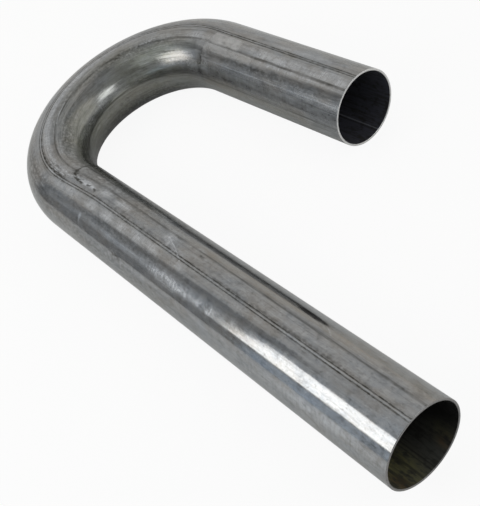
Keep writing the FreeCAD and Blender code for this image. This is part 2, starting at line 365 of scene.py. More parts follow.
def tube_grid(sizes):
    """Return the tube's points on a grid that closes on itself both ways, with their places.

    One profile, out along the outside from one rim to the other and back along the bore, is carried
    round the seam's angle. A point is the centreline's point plus the radius times the outward
    direction turned by the clock about the centreline. The bore's centreline is shifted outward in
    the bend by a raised cosine.
    """
    around = columns(sizes)
    outside = outside_runs(sizes)
    bore = bore_runs(sizes)[::-1]
    end = whole_run(sizes)
    outer = sizes.diameter / 2
    inner = outer - sizes.wall
    cut = sizes.chamfer

    run = np.concatenate((outside, (end, end), bore, (0, 0)))
    rim = np.array((outer - cut, inner + cut))
    kind = np.repeat((OUTSIDE, RIM, BORE, RIM), (len(outside), 2, len(bore), 2))
    run_grid, around_grid = np.meshgrid(run, around, indexing="ij")
    radius = np.where(
        (kind == OUTSIDE)[:, None], outside_radius(sizes, run_grid, around_grid),
        bore_radius(sizes, run_grid, around_grid))
    radius[len(outside):len(outside) + 2] = rim[:, None]
    radius[-2:] = rim[::-1, None]

    point, _, outward = centreline(sizes, run)
    clock = seam_clock(sizes, run)[:, None] + around_grid
    bent = np.clip((run - sizes.long_leg) / bend_length(sizes), 0, 1)
    shift = sizes.bore_shift * (1 - np.cos(TURN * bent)) / 2 * (kind == BORE)
    point = point + shift[:, None] * outward
    upward = np.array((0, 0, 1.0))
    place = (
        point[:, None]
        + (radius * np.cos(clock))[..., None] * outward[:, None]
        + (radius * np.sin(clock))[..., None] * upward)
    drawn = np.stack((run_grid, radius * np.sin(around_grid), radius * np.cos(around_grid)), -1)
    return place, drawn, kind, run_grid, around_grid


def closed_faces(rows, count):
    """Return the quads of a grid that closes on itself in both directions."""
    row, column = np.meshgrid(np.arange(rows), np.arange(count), indexing="ij")
    next_row = (row + 1) % rows
    next_column = (column + 1) % count
    quads = np.stack((
        row * count + column, next_row * count + column,
        next_row * count + next_column, row * count + next_column), -1)
    return quads.reshape(-1, 4)


# Places where handling and the bending tools have scuffed the steel bright: run and clock of the
# middle, half lengths along and round (millimetres, degrees), and strength. Some rows are painted
# lighter reflections rather than scuffs: the long leg's lower side near its open end (clock 18 and
# 29) and the outer edge of the bend (clock 49).
SCUFFS_AND_SHEEN = (
    (358, 99, 14, 4, 0.75), (341, 52, 1.8, 7, 0.9), (228, 92, 12, 6, 0.3), (241, 101, 6, 8, 0.6),
    (400, 93, 22, 5, 0.4), (440, 94, 30, 5, 0.4), (500, 90, 45, 6, 0.45), (560, 88, 50, 8, 0.3),
    (306, 102, 9, 6, 0.65), (332, 104, 7, 7, 0.6), (215, 112, 10, 5, 0.25), (244, 114, 7, 5, 0.3),
    (150, 79, 25, 3, 0.3), (217, 77, 9, 5, 0.45), (247, 76, 9, 7, 0.6), (268, 76, 11, 7, 0.65),
    (289, 75, 8, 7, 0.6), (310, 75, 9, 7, 0.65), (335, 75, 8, 7, 0.6), (362, 76, 12, 7, 0.45),
    (385, 74, 12, 6, 0.4), (222, 53, 21, 10, 0.55), (168, 51, 3.5, 8, 0.5), (180, 54, 7, 6, 0.35),
    (196, 52, 10, 8, 0.3), (286, 54, 40, 4, 0.45), (205, 54, 60, 8, 0.15), (260, 30, 25, 5, 0.2),
    (175, 28, 8, 4, 0.25), (300, 30, 14, 5, 0.15), (757, 104, 9, 7, 0.35), (775, 106, 14, 10, 0.4),
    (762, 120, 10, 4, 0.3), (800, 104, 22, 9, 0.4), (830, 102, 14, 10, 0.5), (848, 105, 8, 8, 0.5),
    (815, 76, 30, 3, 0.3), (780, 80, 28, 3, 0.35), (620, 103, 30, 7, 0.25),
    (668, 106, 14, 9, 0.45), (600, 108, 5, 4, 0.3), (430, 112, 14, 4, 0.2),
    (690, 132, 2.5, 7, 0.3), (45, 29, 48, 7, 0.5), (50, 100, 60, 8, 0.1), (130, 101, 60, 8, 0.1),
    (80, 18, 100, 18, 0.3), (694, 145, 3, 8, 0.3), (770, 156, 95, 8, 0.5), (505, 159, 50, 7, 0.35),
    (745, 101, 18, 10, 0.25), (805, 117, 55, 4, 0.4), (620, 109, 18, 5, 0.3),
    (540, 131, 26, 6, 0.2), (682, 160, 30, 7, 0.45), (391, 95, 4, 1.5, 0.6),
    (400, 90, 4, 1.5, 0.6), (410, 88.5, 5, 1.2, 0.6), (404, 82, 6, 1.5, 0.5), (409, 66, 8, 3, 0.3),
    (582, 108, 3, 1.5, 0.6), (606, 108, 3, 2, 0.5), (347.5, 99.5, 3, 1.2, 0.8),
    (695, 49, 45, 6, 0.5), (357.5, 96.5, 3, 1.5, 0.9))

# Places where oil and scale have darkened the steel, in the same way. Some rows are painted shade
# and painted darker reflections rather than stains: the inside of the bend (clock 220) and of the
# short leg (clock 205), the long leg's lowest strip (clock -1) and lower side (clock 14), and the
# band of clock 141 to 153 along the long leg, where the short leg and the shadowed table between
# the legs show in the steel.
STAINS_AND_SHADE = (
    (240, 92, 50, 3, 0.2), (315, 93, 30, 4, 0.2), (372, 101, 10, 4, 0.6), (380, 103, 4, 4.5, 0.7),
    (354, 97.5, 2.2, 1.5, 0.8), (369, 95, 7, 2, 0.9), (392, 84, 18, 3, 0.7),
    (120, 91.5, 60, 2.5, 0.4), (50, 91, 50, 2.5, 0.35), (430, 84, 30, 2.5, 0.6),
    (284, 34, 6, 3.5, 0.85), (520, 108, 40, 6, 0.35), (590, 112, 50, 9, 0.35),
    (557.6, 182, 2.6, 2.6, 1.0), (547, 184, 2.4, 2.2, 0.8), (600, 115, 60, 14, 0.2),
    (800, 130, 60, 6, 0.45), (735, 131, 34, 6, 0.5), (750, 113, 9, 1.6, 0.6),
    (690, 131, 7, 9, 0.3), (785, 113, 10, 1.6, 0.6), (838, 113, 10, 1.6, 0.7),
    (700, 87, 24, 2.6, 0.8), (12, 42, 3, 4, 0.6), (19, 38, 2, 6, 0.6), (6, 45, 2, 3, 0.5),
    (75, 44, 2, 3, 0.5), (683, 152, 5, 24, 0.5), (10, 125, 8, 8, 0.25), (36, 122, 6, 3, 0.4),
    (305, 146, 62, 8, 0.85), (210, 141, 90, 7, 0.3), (288, 149, 15, 8, 0.5), (20, 112, 14, 2, 0.4),
    (565, 220, 120, 24, 0.75), (206, 106, 3, 2, 0.8), (236, 111, 4, 2, 0.6),
    (825, 72, 12, 4, 0.35), (160, 106, 4, 2, 0.5), (21, 105, 2, 1.5, 0.6), (40, 106, 2, 1.5, 0.6),
    (400, 124, 90, 12, 0.3), (430, 48, 42, 24, 0.6), (320, 121, 90, 6, 0.4),
    (330, 14, 110, 22, 0.4), (620, 78, 70, 7, 0.35), (450, 128, 40, 14, 0.35),
    (790, 205, 85, 9, 0.85), (430, 102, 50, 5, 0.25), (300, 62, 85, 5, 0.4),
    (636, 133, 30, 3, 0.3), (650, 151.5, 26, 2.5, 0.5), (634, 146, 24, 1.2, 0.6),
    (396, 87, 8, 2.5, 0.9), (408, 86, 7, 2.5, 0.8), (420, 84, 8, 2, 0.6), (402, 93, 7, 2, 0.6),
    (386, 90, 6, 2, 0.6), (412, 91, 6, 1.5, 0.6), (405, 63, 10, 3, 0.3), (578, 108, 3, 2, 0.8),
    (573, 112, 3, 1.5, 0.6), (602, 109, 2.5, 2, 0.7), (600, 149, 5, 2, 0.5),
    (382, 109, 2.5, 5, 0.55), (377.5, 99.5, 4, 3, 0.8), (385, 79.5, 6, 1.5, 0.6),
    (395, 80, 5, 1.5, 0.6), (310, 110, 75, 4, 0.35), (495, 101, 26, 5, 0.35),
    (280, 141, 35, 5, 0.55), (150, 153, 200, 6, 0.35), (285, 153, 45, 6, 0.35),
    (300, -1, 130, 7, 0.5), (684, 147, 1.7, 21, 0.75), (165, 88.5, 38, 3.2, 0.45),
    (268, 88, 60, 3.2, 0.5), (780, 86.5, 70, 2.8, 0.4))

# Places where thicker oil has dried on, in the same way.
FILMS = (
    (60, 127, 90, 10, 0.9), (150, 121, 70, 7, 0.7), (215, 117, 60, 6, 0.5), (150, 80, 60, 3, 0.5),
    (730, 178, 70, 12, 0.6), (520, 192, 90, 25, 0.5), (572, 126, 38, 22, 0.2),
    (742, 119, 12, 5, 0.7), (25, 25, 24, 7, 0.5), (270, 77, 60, 6, 0.3), (795, 118, 60, 4, 0.5))

# Places where the bending tools' oil has dried thin, in the same way.
THIN_FILMS = (
    (470, 150, 90, 32, 0.65), (560, 190, 120, 30, 0.65), (592, 135, 42, 22, 0.85),
    (760, 188, 80, 20, 0.3), (560, 105, 90, 12, 0.25), (640, 124, 40, 10, 0.45),
    (605, 161, 45, 8, 0.5))

# Places where the steel is duller than the leg or bend round it, in the same way.
DULLED = (
    (790, 158, 100, 26, 2.2), (560, 195, 150, 30, 0.3), (430, 165, 60, 20, 0.3),
    (300, 134, 90, 12, 1.0), (642, 143, 36, 14, 0.9), (218, 53, 26, 11, 0.9))

# Places in the bore where oil has pooled and where it has rusted, in the same way, and places of
# painted shade, where the bore is darkened toward black deep inside and in its mouth.
BORE_OIL = ((18, 305, 24, 30, 1.0), (8, 226, 9, 16, 0.6), (40, 285, 30, 14, 0.5))
BORE_RUST = ((5, 318, 7, 13, 0.9), (5, 236, 6, 9, 0.6))
BORE_SHADE = ((12, 196, 60, 34, 0.95), (60, 250, 50, 40, 0.7), (30, 292, 14, 12, 0.4))

# Patches the bending die and clamp pressed bright: run from and to, clock from and to, strength.
PRESSED = (
    (688, 730, 90, 114, 1.0), (682, 750, 111, 129, 0.6), (675, 692, 99, 117, 0.4),
    (754, 781, 95, 111, 0.4))

# Width of the pressed patches' soft edges, in millimetres along the tube and degrees round it.
PRESSED_EDGE = 5


def painted(patches, run, clock):
    """Return the strength of a table of patches at each point: the sum of rounded bells.

    Each is the exponential of minus the cube of the distance from its middle, as a share of its
    half lengths, with the clock's difference taken the short way round.
    """
    total = np.zeros_like(run)
    for middle, angle_at, half_run, half_clock, strength in patches:
        along = (run / MM - middle) / half_run
        round_it = ((np.degrees(clock) - angle_at + 180) % 360 - 180) / half_clock
        total = total + strength * np.exp(-(along ** 2 + round_it ** 2) ** 1.5)
    return np.clip(total, 0, 1)


def pressed(run, clock):
    """Return the strength of the pressed patches: rectangles whose edges are smooth steps."""
    total = np.zeros_like(run)
    at = run / MM
    turn = np.degrees(clock)
    for start, stop, low, high, strength in PRESSED:
        rise = strength
        for inside in (at - start, stop - at, turn - low, high - turn):
            rise = rise * smooth(inside / PRESSED_EDGE)
        total = total + rise
    return np.clip(total, 0, 1)


def make_mesh(name, points, faces):
    """Return a mesh of quads with smooth faces."""
    mesh = bpy.data.meshes.new(name)
    mesh.from_pydata(points.reshape(-1, 3), [], faces)
    mesh.update()
    mesh.shade_smooth()
    return mesh


def add_attribute(mesh, name, kind, values):
    """Store one value per vertex on a mesh."""
    attribute = mesh.attributes.new(name, kind, "POINT")
    key = "vector" if kind == "FLOAT_VECTOR" else "value"
    attribute.data.foreach_set(key, np.ascontiguousarray(values, np.float32).ravel())


def add_object(name, mesh):
    """Link a new object with its place in its mesh."""
    thing = bpy.data.objects.new(name, mesh)
    bpy.context.scene.collection.objects.link(thing)
    return thing


def add_node(tree, kind, *values, sockets=None, **settings):
    """Add a node, set its properties, and feed its usable sockets in order, then others by name.

    A value is a number or colour, a socket, or a node, which stands for its first usable output.
    """
    node = tree.nodes.new("ShaderNode" + kind)
    for key, value in settings.items():
        setattr(node, key, value)
    usable = [socket for socket in node.inputs if socket.enabled]
    fed = list(zip(usable, values))
    fed += [(node.inputs[key], value) for key, value in (sockets or {}).items()]
    for socket, value in fed:
        if isinstance(value, bpy.types.Node):
            value = next(output for output in value.outputs if output.enabled)
        if isinstance(value, bpy.types.NodeSocket):
            tree.links.new(value, socket)
        else:
            socket.default_value = value
    return node


def new_material(name):
    """Return a material with an empty tree, and the function that adds nodes to it."""
    material = bpy.data.materials.new(name)
    material.use_nodes = True
    material.node_tree.nodes.clear()
    return material, partial(add_node, material.node_tree)


# Settings of the nodes that step smoothly from one value to another and that mix two colours.
SMOOTH = {"interpolation_type": "SMOOTHSTEP"}
TINT = {"data_type": "RGBA"}

# Patterns of the steel's outside: size of a patch along the tube and round it in millimetres,
# detail, roughness and shift. The rolled marks are really 0.4 mm apart and the grain 0.5 mm, too
# fine for the render, and are drawn coarser so that they show.
STEEL_PATTERNS = {
    "streak": (40, 2.2, 4.0, 0.62, 0.0),
    "fine_streak": (22, 0.7, 3.0, 0.6, 3.1),
    "rolled": (1.15, 18, 3.0, 0.6, 5.3),
    "blotch": (38, 18, 4.0, 0.6, 7.7),
    "patch": (9, 6, 5.0, 0.62, 9.1),
    "mottle": (3.4, 2.3, 4.0, 0.65, 13.3),
    "grain": (1.9, 1.4, 4.0, 0.7, 11.9),
}

# Patterns of the bore, in the same way.
BORE_PATTERNS = {
    "streak": (34, 2.6, 4.0, 0.65, 2.2),
    "blotch": (7, 4.5, 4.0, 0.65, 4.4),
}

# Layers of tone over the plain steel: pattern, its values from and to, strength where the steel is
# as drawn and where it was bent, and colour.
LAYERS = (
    ("patch", 0.40, 0.64, 0.80, 0.35, "steel"), ("streak", 0.52, 0.30, 0.24, 0.34, "grime_and_shade"),
    ("streak", 0.56, 0.74, 0.18, 0.35, "scuffed"), ("fine_streak", 0.50, 0.30, 0.0, 0.34, "grime_and_shade"),
    ("fine_streak", 0.54, 0.72, 0.0, 0.30, "scuffed"), ("patch", 0.47, 0.27, 0.32, 0.30, "grime_and_shade"),
    ("patch", 0.56, 0.74, 0.20, 0.10, "scuffed"), ("mottle", 0.45, 0.27, 0.40, 0.22, "grime_and_shade"),
    ("mottle", 0.57, 0.76, 0.30, 0.08, "scuffed"), ("grain", 0.42, 0.27, 0.55, 0.30, "grime_and_shade"),
    ("grain", 0.60, 0.76, 0.42, 0.12, "scuffed"))

# Values of a pattern from and to, and what it gives at each: how cool the film is, by the blotch,
# how whole the lines are, by the fine streak, and how rough the plain steel is, by the patch.
COOL_FILM = (0.38, 0.62, 0.0, 1.0)
WHOLE_LINES = (0.62, 0.42, 0.4, 1.0)
PLAIN_ROUGHNESS = (0.3, 0.7, 0.09, 0.15)

# How the patterns break up each kind of mark: pattern, its values from and to, and the share of the
# mark that stays at each.
BROKEN_UP = {
    "film": (("patch", 0.3, 0.6, 1.0, 0.55), ("streak", 0.3, 0.6, 1.0, 0.55)),
    "scuff_and_sheen": (
        ("patch", 0.34, 0.58, 0.7, 1.0), ("mottle", 0.38, 0.60, 0.6, 1.0),
        ("rolled", 0.38, 0.60, 0.6, 1.0)),
    "stain_and_shade": (("mottle", 0.62, 0.42, 0.2, 1.0),),
    "groove": (("mottle", 0.40, 0.60, 1.0, 0.6), ("blotch", 0.40, 0.60, 1.0, 0.7)),
    "pressed": (("mottle", 0.30, 0.60, 0.45, 0.8), ("patch", 0.30, 0.60, 0.5, 1.0)),
}

# How far each thin mark reaches from its middle: whole out to, gone at (millimetres), and strength.
GROOVE_REACH = (0.25, 0.75, 1.0)
SCAR_REACH = (0.3, 1.9, 0.8)
SCRATCH_REACH = (0.1, 0.7, 0.45)

# Strength of the dirt in the seam's grooves, and how far the grain and the mottle shake the edges
# of thin marks.
GROOVE_DIRT = 0.92
GRAIN_SHAKE, MOTTLE_SHAKE = 1.0 * MM, 4.0 * MM

# What each kind of wear adds to the roughness.
ROUGHENED = {"worked": 0.08, "scuff_and_sheen": 0.18, "pressed": 0.15, "groove": 0.3}

# Height of the rolled marks where the steel is as drawn and where it was bent, of the streaks that
# bending raises, and of the other patterns, all as shares of the bump's distance.
ROLLED_HEIGHT = (1.2, 0.5)
RAISED_STREAK = 0.8
HEIGHTS = (("fine_streak", 0.08), ("patch", 1.2), ("mottle", 0.35))

# Lines along the tube, such as the rub on the seam's rib and the streaks that the drawing rolls
# left: angle from the seam, half width, run from and to (degrees and millimetres), strength and
# colour.
DRAWN_LINES = (
    (0, 0.75, -30, 760, 0.2, "bare_and_sheen"), (25, 1.6, -30, 900, 0.66, "grime_and_shade"),
    (28.5, 0.5, -30, 380, 0.25, "grime_and_shade"), (17, 0.5, -30, 340, 0.2, "grime_and_shade"),
    (86, 1.5, 430, 900, 0.45, "grime_and_shade"), (53.5, 0.6, 690, 900, 0.35, "bare_and_sheen"),
    (62, 0.7, 700, 900, 0.30, "grime_and_shade"), (66.5, 0.6, 818, 846, 0.35, "bare_and_sheen"),
    (73, 1.2, 780, 850, 0.30, "grime_and_shade"), (58, 0.8, 600, 695, 0.5, "grime_and_shade"),
    (52.5, 0.5, 590, 680, 0.3, "grime_and_shade"), (38, 0.5, 430, 700, 0.25, "grime_and_shade"),
    (-50, 0.6, -30, 900, 0.2, "grime_and_shade"), (110, 0.5, -30, 900, 0.3, "grime_and_shade"),
    (-85, 0.6, -30, 900, 0.3, "grime_and_shade"), (150, 0.8, -30, 900, 0.3, "grime_and_shade"))

# Lines in the bore, in the same way.
BORE_LINES = (
    (-179, 0.8, -30, 300, 0.8, "grime_and_shade"), (-174, 0.7, -30, 300, 0.7, "grime_and_shade"),
    (-165, 0.7, 600, 900, 0.30, "bare_and_sheen"), (-168, 0.9, 600, 900, 0.6, "grime_and_shade"),
    (150, 1.2, -30, 900, 0.4, "grime_and_shade"))

# Runs, in metres, between which the bore's scale turns from the long leg's colour to the other's.
BLUE_SCALE_RUNS = (0.3, 0.6)

# Patches of the bore: attribute, the blotch's values from and to, and colour. Where the blotch is
# low, BORE_PATCH_LEAST of a patch stays.
BORE_PATCHES = (("bore_oil", 0.34, 0.56, "olive"), ("bore_rust", 0.40, 0.56, "rust"))
BORE_PATCH_LEAST = 0.3

# Dirt of the bore: pattern, its values from and to, and strength.
BORE_DIRT = (("streak", 0.56, 0.36, 0.75), ("blotch", 0.50, 0.34, 0.75))

# Values of the bore's streak from and to, and what it gives at each: how whole the lines are, and
# how rough the scale is.
WHOLE_BORE_LINES = (0.2, 0.4, 0.7, 1.0)
SCALE_ROUGHNESS = (0.3, 0.7, 0.55, 0.35)

# Share of a line's half width that has its whole strength, and the length over which its ends fade,
# in millimetres.
LINE_CORE = 0.2
LINE_END = 20


# How far each axis of a pattern is moved for each unit of its shift, so that no two coincide.
SHIFT_SHARES = (1.0, 1.7, 2.3)


def read_patterns(add, place, patterns):
    """Return the noises of a table of patterns, laid out along and round the tube."""
    made = {}
    for name, (along, across, detail, roughness, shift) in patterns.items():
        fine = (1 / (along * MM), 1 / (across * MM), 1 / (across * MM))
        moved = tuple(share * shift for share in SHIFT_SHARES)
        laid = add("Mapping", place, moved, (0, 0, 0), fine)
        made[name] = add("TexNoise", laid, 1.0, detail, roughness, noise_dimensions="3D")
    return made


def rolled_out(add, radius):
    """Return a place on the tube as drawn straight, its run, and its arc from the seam.

    The arc is the radius times the angle, the arc tangent of the place's two offsets from the
    centreline.
    """
    drawn = add("Attribute", attribute_name="as_drawn").outputs["Vector"]
    run, aside, above = add("SeparateXYZ", drawn).outputs
    arc = add("Math", add("Math", aside, above, operation="ARCTAN2"), radius, operation="MULTIPLY")
    return drawn, run, arc


def draw_lines(add, base, colours, lines, arc, run, whole, radius):
    """Lay lines along the tube over a colour: each is a share that fades to its sides and ends."""
    for turn, half, start, stop, strength, shade in lines:
        off = add("Math", add("Math", arc, radians(turn) * radius, operation="SUBTRACT"),
                  operation="ABSOLUTE")
        line = add("MapRange", off, LINE_CORE * half * MM, half * MM, strength, 0.0, **SMOOTH)
        for end, full in ((start, start + LINE_END), (stop, stop - LINE_END)):
            held = add("MapRange", run, end * MM, full * MM, 0.0, 1.0, **SMOOTH)
            line = add("Math", line, held, operation="MULTIPLY")
        line = add("Math", line, whole, operation="MULTIPLY")
        base = add("Mix", line, base, rgba(getattr(colours, shade)), **TINT)
    return base


def broken_up(add, mark, pattern, ways):
    """Return a mark's strength times a share from each pattern: a smooth step of its value."""
    for name, low, high, least, most in ways:
        held = add("MapRange", pattern[name], low, high, least, most, **SMOOTH)
        mark = add("Math", mark, held, operation="MULTIPLY")
    return mark


def near_line(add, gap, reach):
    """Return the strength of a thin mark: a smooth step down as the gap from its middle grows."""
    core, edge, strength = reach
    return add("MapRange", gap, core * MM, edge * MM, strength, 0.0, **SMOOTH)


def shaken(add, noise, reach):
    """Return a length that a noise moves to and fro: the reach times the noise less a half."""
    return add("Math", add("Math", noise, 0.5, operation="SUBTRACT"), reach, operation="MULTIPLY")


def steel_material(colours, sizes):
    """Raw drawn steel tube: cold drawn, roller straightened, left with its mill oil.

    That gives the eye a dull mirror: clear reflections softened by fine marks round the tube from
    the straightening rolls, mottled by dried oil and handling, with dark dirt in every line, and
    with painted shade and painted reflections, darker and lighter, in a few places.
    """
    material, add = new_material("raw_drawn_steel")
    value = {
        name: add("Attribute", attribute_name=name).outputs["Fac"]
        for name in (
            "scuff_and_sheen", "stain_and_shade", "film", "thin_film", "pressed", "worked", "mark_gap",
            "scratch_gap")}
    radius = sizes.diameter / 2
    drawn, run, arc = rolled_out(add, radius)
    pattern = read_patterns(add, drawn, STEEL_PATTERNS)

    cool = add("MapRange", pattern["blotch"], *COOL_FILM, **SMOOTH)
    base = add("Mix", cool, rgba(colours.warm), rgba(colours.cool), **TINT)
    base = add("Mix", value["thin_film"], base, rgba(colours.thin_oil), **TINT)
    for name, low, high, as_drawn, bent, shade in LAYERS:
        strength = add("MapRange", value["worked"], 0.0, 1.0, as_drawn, bent)
        share = add("MapRange", pattern[name], low, high, 0.0, strength, **SMOOTH)
        base = add("Mix", share, base, rgba(getattr(colours, shade)), **TINT)
    filmed = broken_up(add, value["film"], pattern, BROKEN_UP["film"])
    base = add("Mix", filmed, base, rgba(colours.oil), **TINT)
    # Scuffs lighten the colour; some of them are painted lighter reflections.
    worn_and_sheen = broken_up(add, value["scuff_and_sheen"], pattern, BROKEN_UP["scuff_and_sheen"])
    base = add("Mix", worn_and_sheen, base, rgba(colours.bare_and_sheen), **TINT)
    # Stains darken the colour; some of them are painted shade and painted darker reflections.
    soiled_and_shaded = broken_up(add, value["stain_and_shade"], pattern, BROKEN_UP["stain_and_shade"])
    base = add("Mix", soiled_and_shaded, base, rgba(colours.grime_and_shade), **TINT)

    ragged = shaken(add, pattern["grain"], GRAIN_SHAKE)
    ragged_arc = add("Math", arc, ragged, operation="ADD")
    from_groove = add("Math", add("Math", arc, operation="ABSOLUTE"),
                      (sizes.rib + sizes.groove) / 2, operation="SUBTRACT")
    from_groove = add("Math", add("Math", from_groove, operation="ABSOLUTE"), ragged,
                      operation="ADD")
    in_groove = near_line(add, from_groove, GROOVE_REACH)
    in_groove = broken_up(add, in_groove, pattern, BROKEN_UP["groove"])
    share = add("Math", in_groove, GROOVE_DIRT, operation="MULTIPLY")
    base = add("Mix", share, base, rgba(colours.grime_and_shade), **TINT)

    whole = add("MapRange", pattern["fine_streak"], *WHOLE_LINES, **SMOOTH)
    base = draw_lines(add, base, colours, DRAWN_LINES, ragged_arc, run, whole, radius)
    flat = broken_up(add, value["pressed"], pattern, BROKEN_UP["pressed"])
    base = add("Mix", flat, base, rgba(colours.scuffed), **TINT)

    wavy = shaken(add, pattern["mottle"], MOTTLE_SHAKE)
    wavy = add("Math", add("Math", wavy, ragged, operation="ADD"), value["mark_gap"],
               operation="ADD")
    in_scar = near_line(add, wavy, SCAR_REACH)
    base = add("Mix", in_scar, base, rgba(colours.grime_and_shade), **TINT)
    in_scratch = near_line(add, value["scratch_gap"], SCRATCH_REACH)
    base = add("Mix", in_scratch, base, rgba(colours.bare_and_sheen), **TINT)

    rough = add("MapRange", pattern["patch"], *PLAIN_ROUGHNESS, **SMOOTH)
    wear = {**value, "scuff_and_sheen": worn_and_sheen, "groove": in_groove}
    for name, share in ROUGHENED.items():
        rough = add("Math", wear[name], share, rough, operation="MULTIPLY_ADD")

    raised = add("Math", pattern["fine_streak"], value["worked"], operation="MULTIPLY")
    rolled_height = add("MapRange", value["worked"], 0.0, 1.0, *ROLLED_HEIGHT)
    height = add("Math", pattern["rolled"], rolled_height, operation="MULTIPLY")
    height = add("Math", raised, RAISED_STREAK, height, operation="MULTIPLY_ADD")
    for name, share in HEIGHTS:
        height = add("Math", pattern[name], share, height, operation="MULTIPLY_ADD")
    bump = add("Bump", sockets={"Height": height, "Strength": 0.22, "Distance": 0.03 * MM})

    shader = add("BsdfPrincipled", sockets={
        "Base Color": base, "Metallic": 0.9, "Roughness": rough, "Normal": bump})
    add("OutputMaterial", shader)
    return material


def bore_material(colours, sizes):
    """Bore of the tube: drawn steel under oiled mill scale.

    That gives the eye a dark satin with long streaks, olive where old oil has pooled in the long
    leg's mouth, brown where it has rusted, and bluer toward the short leg.
    """
    material, add = new_material("oiled_scale_in_bore")
    radius = sizes.diameter / 2 - sizes.wall
    drawn, run, arc = rolled_out(add, radius)
    pattern = read_patterns(add, drawn, BORE_PATTERNS)
    along = add("MapRange", run, *BLUE_SCALE_RUNS, 0.0, 1.0, **SMOOTH)
    base = add("Mix", along, rgba(colours.scale), rgba(colours.blue_scale), **TINT)
    for name, low, high, shade in BORE_PATCHES:
        patch = add("Attribute", attribute_name=name).outputs["Fac"]
        share = add("MapRange", pattern["blotch"], low, high, BORE_PATCH_LEAST, 1.0, **SMOOTH)
        share = add("Math", share, patch, operation="MULTIPLY")
        base = add("Mix", share, base, rgba(getattr(colours, shade)), **TINT)
    for name, low, high, strength in BORE_DIRT:
        share = add("MapRange", pattern[name], low, high, 0.0, strength, **SMOOTH)
        base = add("Mix", share, base, rgba(colours.grime_and_shade), **TINT)
    # Painted shade: the bore darkened toward black where little light reaches.
    painted_bore_shade = add("Attribute", attribute_name="bore_shade").outputs["Fac"]
    base = add("Mix", painted_bore_shade, base, rgba(colours.painted_bore_shade), **TINT)
    whole = add("MapRange", pattern["streak"], *WHOLE_BORE_LINES, **SMOOTH)
    base = draw_lines(add, base, colours, BORE_LINES, arc, run, whole, radius)
    rough = add("MapRange", pattern["streak"], *SCALE_ROUGHNESS, **SMOOTH)
    bump = add("Bump", sockets={"Height": pattern["streak"], "Strength": 0.3, "Distance": 0.1 * MM})
    shader = add("BsdfPrincipled", sockets={
        "Base Color": base, "Metallic": 0.4, "Roughness": rough, "Normal": bump})
    add("OutputMaterial", shader)
    return material


# Size of the sawn rims' grain, really some 0.3 mm and drawn coarser so that it shows, and the
# grain's values from and to, with the strength of the dirt at each.
SAW_GRAIN = 1.2 * MM
SAW_DIRT = (0.45, 0.30, 0.0, 0.6)


def rim_material(colours, sizes):
    """Rims of the tube: saw cut and deburred mild steel, bright with a fine cross grain."""
    material, add = new_material("sawn_steel")
    place = add("TexCoord").outputs["Object"]
    drawn = add("Attribute", attribute_name="as_drawn").outputs["Vector"]
    run = add("SeparateXYZ", drawn).outputs["X"]
    far = add("Math", run, 0.5 * whole_run(sizes), operation="GREATER_THAN")
    base = add("Mix", far, rgba(colours.dull_sawn), rgba(colours.sawn), **TINT)
    grain = add("TexNoise", place, 1 / SAW_GRAIN, 3.0, 0.6, noise_dimensions="3D")
    share = add("MapRange", grain, *SAW_DIRT, **SMOOTH)
    base = add("Mix", share, base, rgba(colours.grime_and_shade), **TINT)
    bump = add("Bump", sockets={"Height": grain, "Strength": 0.4, "Distance": 0.05 * MM})
    shader = add("BsdfPrincipled", sockets={
        "Base Color": base, "Metallic": 0.6, "Roughness": 0.36, "Normal": bump})
    add("OutputMaterial", shader)
    return material


# Edges that turn by more than this many degrees are shaded crisp.
CRISP_EDGE = 30


class MESH_OT_return_bend_tube(bpy.types.Operator):
    """Build the welded tube: outside with its seam, both rims, and bore with its bead"""
    bl_idname = "mesh.return_bend_tube"
    bl_label = "Return bend tube"

    def execute(self, context):
        sizes = context.scene.return_bend_sizes
        colours = context.scene.return_bend_colours
        place, drawn, kind, run, around = tube_grid(sizes)
        rows, count = run.shape
        mesh = make_mesh("return_bend_tube", place, closed_faces(rows, count))
        clock = seam_clock(sizes, run) + around
        add_attribute(mesh, "as_drawn", "FLOAT_VECTOR", drawn)
        # The bore's last table is painted shade.
        # The scuffs table also holds painted lighter reflections.
        # The stains table also holds painted shade and painted darker reflections.
        for name, patches in (
                ("scuff_and_sheen", SCUFFS_AND_SHEEN), ("stain_and_shade", STAINS_AND_SHADE), ("film", FILMS), ("thin_film", THIN_FILMS),
                ("bore_oil", BORE_OIL), ("bore_rust", BORE_RUST), ("bore_shade", BORE_SHADE)):
            add_attribute(mesh, name, "FLOAT", painted(patches, run, clock))
        add_attribute(mesh, "pressed", "FLOAT", pressed(run, clock))
        dulled = worked(sizes, run) + painted(DULLED, run, clock)
        add_attribute(mesh, "worked", "FLOAT", dulled)
        for name, chains in (("mark_gap", TOOL_MARKS), ("scratch_gap", SCRATCHES)):
            add_attribute(mesh, name, "FLOAT", distance_to(chains, sizes, run, clock))
        for material in (steel_material, bore_material, rim_material):
            mesh.materials.append(material(colours, sizes))
        part = np.where(kind == np.roll(kind, -1), kind, RIM)
        mesh.polygons.foreach_set("material_index", np.repeat(part, count).astype(np.int32))
        mesh.set_sharp_from_angle(angle=radians(CRISP_EDGE))
        tube = add_object("return_bend_tube", mesh)
        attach(tube, "root")
        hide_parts("bent_tube")
        return {"FINISHED"}


def plane(name, corners, material):
    """Add a flat panel of the stage: one quad through its four corners."""
    mesh = bpy.data.meshes.new(name)
    mesh.from_pydata(corners, [], [(0, 1, 2, 3)])
    mesh.materials.append(material)
    panel = add_object(name, mesh)
    return panel


# How much of the table's light is plain white where the camera sees it and, more, where it shows in
# the steel.
WHITE_TO_EYE = 0.92
WHITE_IN_STEEL = 0.03


